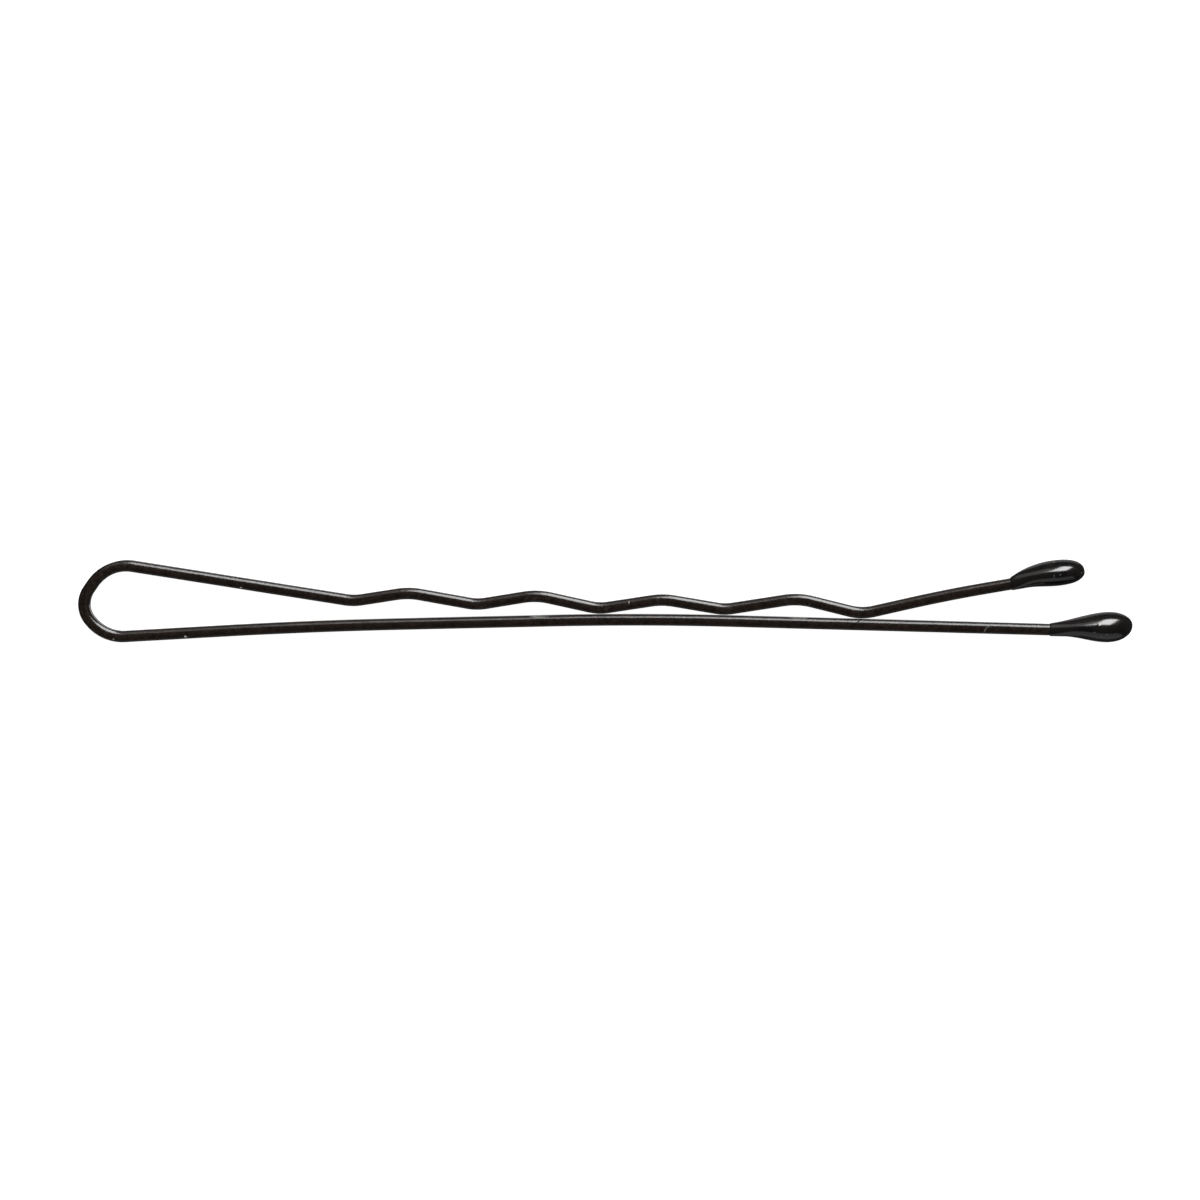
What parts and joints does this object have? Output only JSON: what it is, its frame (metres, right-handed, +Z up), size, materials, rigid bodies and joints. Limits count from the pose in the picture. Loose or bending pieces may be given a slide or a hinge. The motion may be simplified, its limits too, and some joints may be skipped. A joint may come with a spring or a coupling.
{
  "type": "bobby pin",
  "caption": "Black-brown lacquered bobby pin lying on its side: a bowed spring wire with a smooth leg, a crimped leg with a lifted end, and rounded resin beads on the tips.",
  "frame": {"origin": "centre of the pin's footprint, on the surface that it lies on", "axes": "+X from the bow towards the tips, +Y from the smooth leg towards the crimped leg, +Z up from the surface"},
  "size_m": [0.051, 0.004, 0.0017],
  "materials": {
    "lacquered_steel": "satin black-brown lacquer on spring steel",
    "tip_resin": "gloss"
  },
  "bodies": {
    "bow": {"spring_bow": "lacquered_steel"},
    "straight_side": {"straight_leg": "lacquered_steel", "straight_leg_tip": "tip_resin"},
    "wavy_side": {"wavy_leg": "lacquered_steel", "wavy_leg_tip": "tip_resin"}
  },
  "joints": [
    {"name": "straight_leg_flex", "type": "hinge", "parent": "bow", "child": "straight_side", "pos_m": [-0.01943, -0.00179, 0.00085], "axis": [0, 0, -1], "range_deg": [0, 8], "stiffness_Nm_per_rad": 0.17},
    {"name": "wavy_leg_flex", "type": "hinge", "parent": "bow", "child": "wavy_side", "pos_m": [-0.01906, 0.00135, 0.00085], "axis": [0, 0, 1], "range_deg": [0, 8], "stiffness_Nm_per_rad": 0.17}
  ]
}
